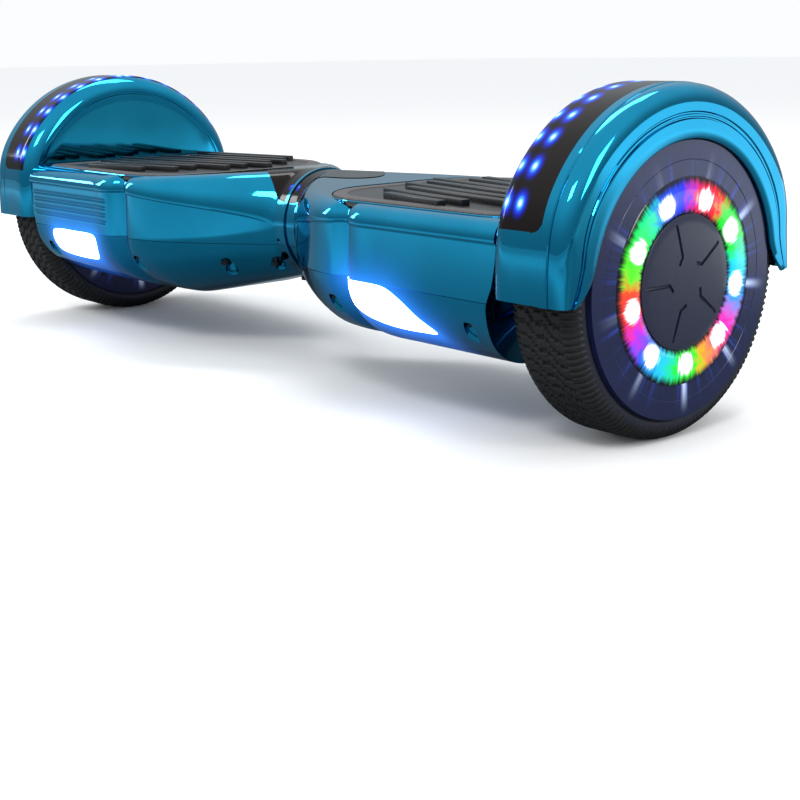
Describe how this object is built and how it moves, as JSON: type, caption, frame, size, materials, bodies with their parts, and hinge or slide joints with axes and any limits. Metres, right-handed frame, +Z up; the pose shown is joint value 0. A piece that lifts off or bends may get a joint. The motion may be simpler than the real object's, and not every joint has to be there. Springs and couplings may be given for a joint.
{
  "type": "self balancing hoverboard",
  "caption": "Two-wheeled self balancing board: two plated half bodies that twist on a centre pivot, rubber foot pads, lit fenders and hub-motor wheels.",
  "frame": {"origin": "on the ground, under the middle of the board", "axes": "+X along the board towards the right wheel, -Y the front with the headlights, +Z up"},
  "size_m": [0.584, 0.186, 0.181],
  "materials": {
    "shell_chrome": "electroplated mirror blue on ABS",
    "cast_frame": "as cast",
    "pad_rubber": "moulded matt rubber",
    "circuit_board": "green solder mask",
    "smoked_cover": "smoked glossy plastic",
    "headlight": "frosted, lit",
    "steel": "turned",
    "lamination_steel": "stacked sheets",
    "copper": "enamelled copper wire",
    "screw_steel": "black zinc",
    "tyre_rubber": "solid rubber",
    "hub_black": "black powder coat",
    "magnet": "nickel plated",
    "led_cover": "translucent, lit",
    "bush_bronze": "sintered bronze",
    "battery_wrap": "blue heat-shrink wrap",
    "speaker_black": "matt",
    "button_black": "satin",
    "socket_steel": "nickel plated",
    "cap_rubber": "soft rubber"
  },
  "bodies": {
    "left_half": {"left_upper_shell": "shell_chrome", "left_lower_shell": "shell_chrome", "left_frame": "cast_frame", "left_sensor_board": "circuit_board", "left_fender_light_cover": "smoked_cover", "left_lamp_boards": "circuit_board", "left_headlight_lens": "headlight", "left_indicator_window": "smoked_cover", "left_axle": "steel", "left_axle_clamp": "cast_frame", "left_stator_core": "lamination_steel", "left_stator_windings": "copper", "left_shell_screws": "screw_steel", "left_clamp_bolts": "screw_steel", "pivot_tube": "steel", "pivot_retainer": "screw_steel", "limit_pin": "steel", "neck_ring": "shell_chrome", "main_board": "circuit_board", "speaker": "speaker_black"},
    "right_half": {"right_upper_shell": "shell_chrome", "right_lower_shell": "shell_chrome", "right_frame": "cast_frame", "right_sensor_board": "circuit_board", "right_fender_light_cover": "smoked_cover", "right_lamp_boards": "circuit_board", "right_headlight_lens": "headlight", "right_indicator_window": "smoked_cover", "right_axle": "steel", "right_axle_clamp": "cast_frame", "right_stator_core": "lamination_steel", "right_stator_windings": "copper", "right_shell_screws": "screw_steel", "right_clamp_bolts": "screw_steel", "pivot_bushes": "bush_bronze", "battery_pack": "battery_wrap", "charging_socket": "socket_steel"},
    "left_wheel": {"left_tyre": "tyre_rubber", "left_wheel_hub": "hub_black", "left_inner_cover": "hub_black", "left_magnet_ring": "magnet", "left_wheel_bearings": "steel", "left_wheel_led_board": "circuit_board", "left_wheel_led_cover": "led_cover", "left_wheel_centre_cover": "hub_black", "left_cover_screws": "screw_steel"},
    "right_wheel": {"right_tyre": "tyre_rubber", "right_wheel_hub": "hub_black", "right_inner_cover": "hub_black", "right_magnet_ring": "magnet", "right_wheel_bearings": "steel", "right_wheel_led_board": "circuit_board", "right_wheel_led_cover": "led_cover", "right_wheel_centre_cover": "hub_black", "right_cover_screws": "screw_steel"},
    "left_pad": {"left_foot_pad": "pad_rubber"},
    "right_pad": {"right_foot_pad": "pad_rubber"},
    "power_button": {"power_button": "button_black"},
    "socket_cap": {"socket_cap": "cap_rubber"}
  },
  "joints": [
    {"name": "centre_twist", "type": "hinge", "parent": "left_half", "child": "right_half", "pos_m": [0, 0, 0.0883], "axis": [1, 0, 0], "range_deg": [-12, 12]},
    {"name": "left_wheel_spin", "type": "hinge", "parent": "left_half", "child": "left_wheel", "pos_m": [-0.2655, 0, 0.0825], "axis": [1, 0, 0], "continuous": true},
    {"name": "right_wheel_spin", "type": "hinge", "parent": "right_half", "child": "right_wheel", "pos_m": [0.2655, 0, 0.0825], "axis": [1, 0, 0], "continuous": true},
    {"name": "left_pad_press", "type": "slide", "parent": "left_half", "child": "left_pad", "axis": [0, 0, -1], "range_m": [0, 0.0015], "stiffness_N_per_m": 4000},
    {"name": "right_pad_press", "type": "slide", "parent": "right_half", "child": "right_pad", "axis": [0, 0, -1], "range_m": [0, 0.0015], "stiffness_N_per_m": 4000},
    {"name": "power_button_press", "type": "slide", "parent": "right_half", "child": "power_button", "axis": [0, -1, 0], "range_m": [0, 0.0015], "stiffness_N_per_m": 300},
    {"name": "socket_cap_open", "type": "hinge", "parent": "right_half", "child": "socket_cap", "pos_m": [0.165, 0.0897, 0.075], "axis": [1, 0, 0], "range_deg": [0, 110]}
  ]
}
